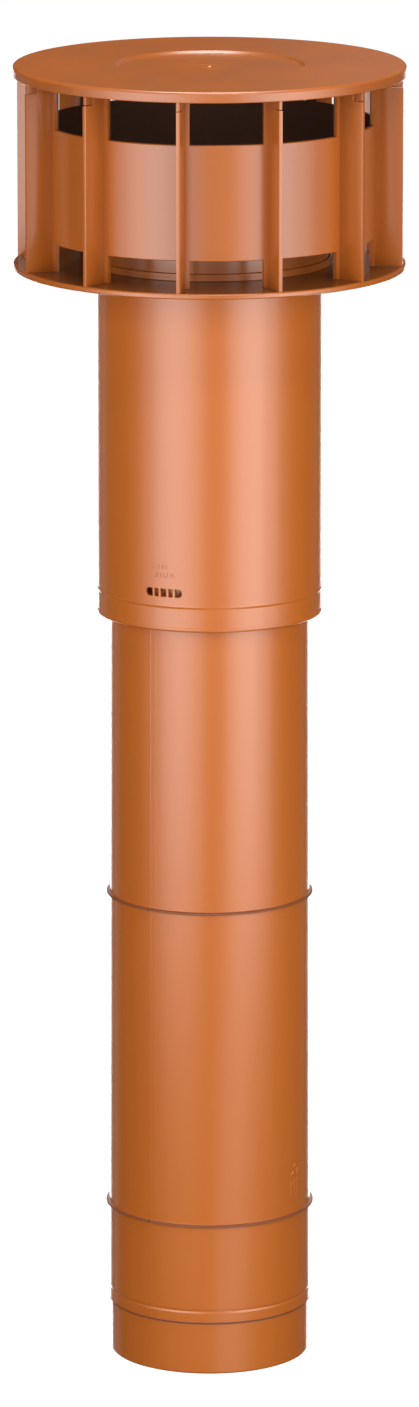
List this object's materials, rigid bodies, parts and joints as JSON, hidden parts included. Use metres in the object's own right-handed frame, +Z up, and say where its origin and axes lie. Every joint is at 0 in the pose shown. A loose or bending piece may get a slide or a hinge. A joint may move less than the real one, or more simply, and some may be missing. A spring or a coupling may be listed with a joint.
{
  "type": "roof vent hood",
  "caption": "Terracotta plastic roof vent: a ringed inner pipe inside an outer sleeve, under a round louvred hood with upright vanes, a baffle wall and a flat cap.",
  "frame": {"origin": "middle of the pipe's lower end, on the plane of its end face", "axes": "+Z up along the pipe to the cap, -Y towards the ventilation slot in the sleeve"},
  "size_m": [0.215, 0.215, 0.726],
  "materials": {
    "terracotta_plastic": "semi-gloss moulded polypropylene"
  },
  "bodies": {
    "root": {"vent_pipe": "terracotta_plastic", "outer_sleeve": "terracotta_plastic", "hood_cage": "terracotta_plastic", "cap_disc": "terracotta_plastic"}
  },
  "joints": []
}
